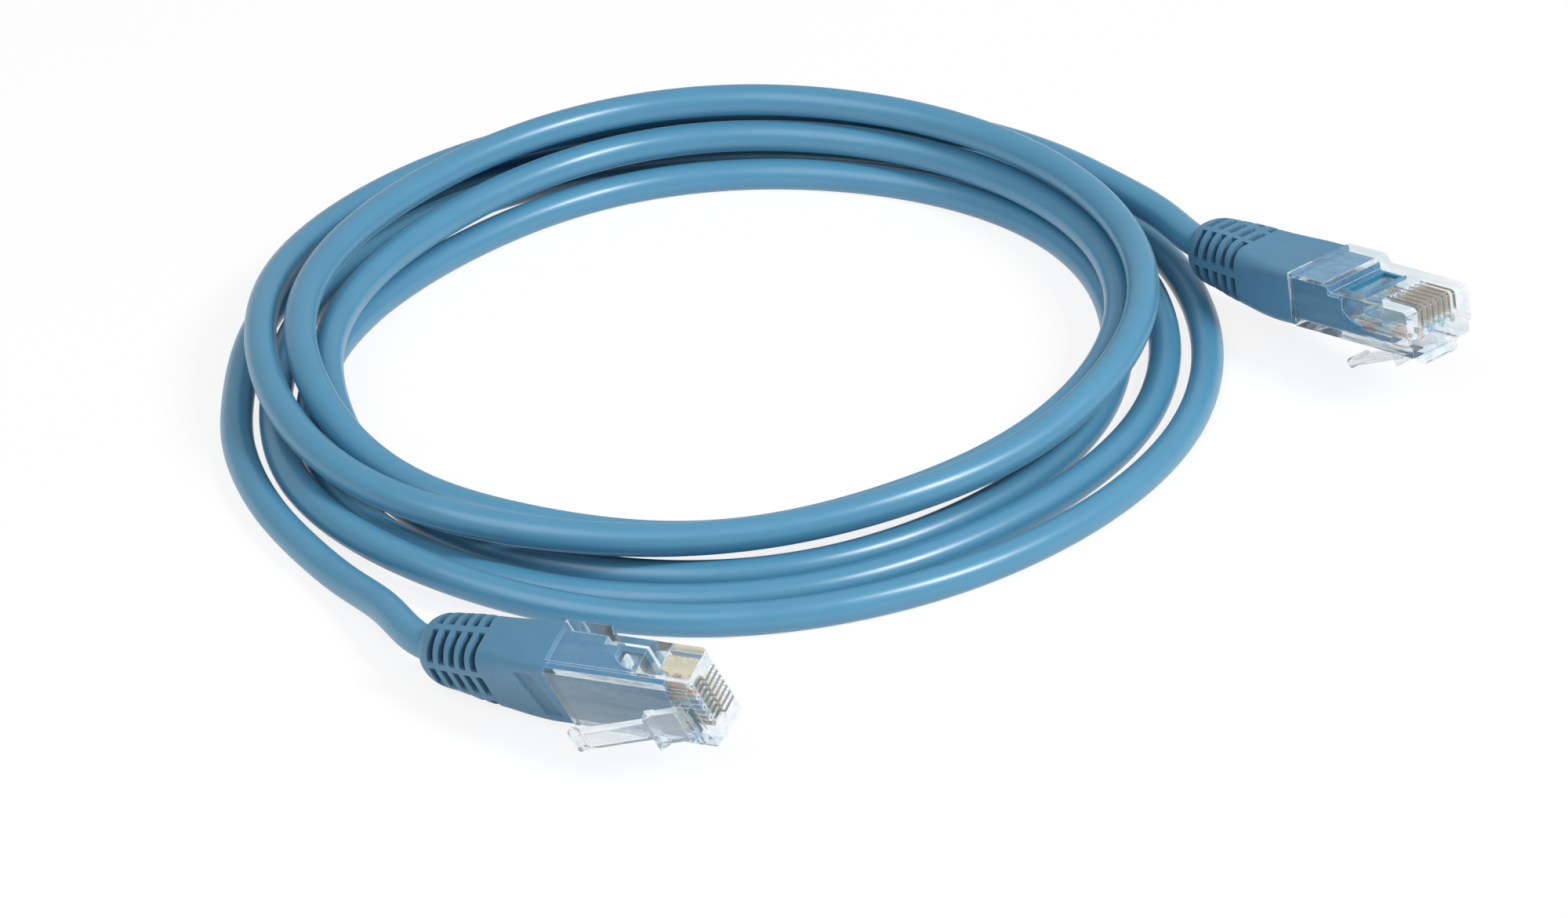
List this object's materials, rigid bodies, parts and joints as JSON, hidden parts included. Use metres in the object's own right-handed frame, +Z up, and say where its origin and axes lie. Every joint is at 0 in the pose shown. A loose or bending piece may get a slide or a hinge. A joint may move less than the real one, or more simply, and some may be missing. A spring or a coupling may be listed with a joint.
{
  "type": "ethernet patch cable",
  "caption": "Round network patch cord wound in a flat coil, with a clear moulded modular plug, spring latch and ribbed strain-relief boot on each end.",
  "frame": {"origin": "on the table, under the middle of the whole part's outline", "axes": "+Z up from the table, +X to the right and +Y to the back as the part is seen from its front, where the first plug lies"},
  "size_m": [0.1633, 0.1691, 0.0176],
  "materials": {
    "jacket": "smooth satin PVC, steel blue",
    "boot": "fine matte moulded PVC, steel blue",
    "moulded_core": "glossy moulded, seen through the clear housing",
    "clear_housing": "clear polished polycarbonate",
    "clear_latch": "clear polished polycarbonate",
    "clear_bar": "clear polished polycarbonate",
    "gold_contact": "gold plated, polished",
    "copper": "bare drawn copper",
    "wire_white_orange": "white with an orange stripe",
    "wire_orange": "plain",
    "wire_white_green": "white with a green stripe",
    "wire_blue": "plain",
    "wire_white_blue": "white with a blue stripe",
    "wire_green": "plain",
    "wire_white_brown": "white with a brown stripe",
    "wire_brown": "plain"
  },
  "bodies": {
    "cord": {"cable_lead_a": "jacket", "cable_coil": "jacket", "cable_lead_b": "jacket", "plug_a_housing": "clear_housing", "plug_a_boot": "boot", "plug_a_inner_mould": "moulded_core", "plug_a_strain_bar": "clear_bar", "plug_a_jacket_end": "jacket", "plug_a_conductors": "copper", "plug_a_contact_1": "gold_contact", "plug_a_contact_2": "gold_contact", "plug_a_contact_3": "gold_contact", "plug_a_contact_4": "gold_contact", "plug_a_contact_5": "gold_contact", "plug_a_contact_6": "gold_contact", "plug_a_contact_7": "gold_contact", "plug_a_contact_8": "gold_contact", "plug_a_wire_1": "wire_white_orange", "plug_a_wire_2": "wire_orange", "plug_a_wire_3": "wire_white_green", "plug_a_wire_4": "wire_blue", "plug_a_wire_5": "wire_white_blue", "plug_a_wire_6": "wire_green", "plug_a_wire_7": "wire_white_brown", "plug_a_wire_8": "wire_brown", "plug_b_housing": "clear_housing", "plug_b_boot": "boot", "plug_b_inner_mould": "moulded_core", "plug_b_strain_bar": "clear_bar", "plug_b_jacket_end": "jacket", "plug_b_conductors": "copper", "plug_b_contact_1": "gold_contact", "plug_b_contact_2": "gold_contact", "plug_b_contact_3": "gold_contact", "plug_b_contact_4": "gold_contact", "plug_b_contact_5": "gold_contact", "plug_b_contact_6": "gold_contact", "plug_b_contact_7": "gold_contact", "plug_b_contact_8": "gold_contact", "plug_b_wire_1": "wire_white_orange", "plug_b_wire_2": "wire_orange", "plug_b_wire_3": "wire_white_green", "plug_b_wire_4": "wire_blue", "plug_b_wire_5": "wire_white_blue", "plug_b_wire_6": "wire_green", "plug_b_wire_7": "wire_white_brown", "plug_b_wire_8": "wire_brown"},
    "latch_a": {"plug_a_latch": "clear_latch"},
    "latch_b": {"plug_b_latch": "clear_latch"}
  },
  "joints": [
    {"name": "latch_a_flex", "type": "hinge", "parent": "cord", "child": "latch_a", "pos_m": [-0.02138, -0.08198, 0.00893], "axis": [0.358, 0.2699, -0.8939], "range_deg": [0, 13], "stiffness_Nm_per_rad": 0.15},
    {"name": "latch_b_flex", "type": "hinge", "parent": "cord", "child": "latch_b", "pos_m": [0.07587, 0.00505, 0.00897], "axis": [0.7464, 0.6655, -0.0086], "range_deg": [0, 13], "stiffness_Nm_per_rad": 0.15}
  ]
}
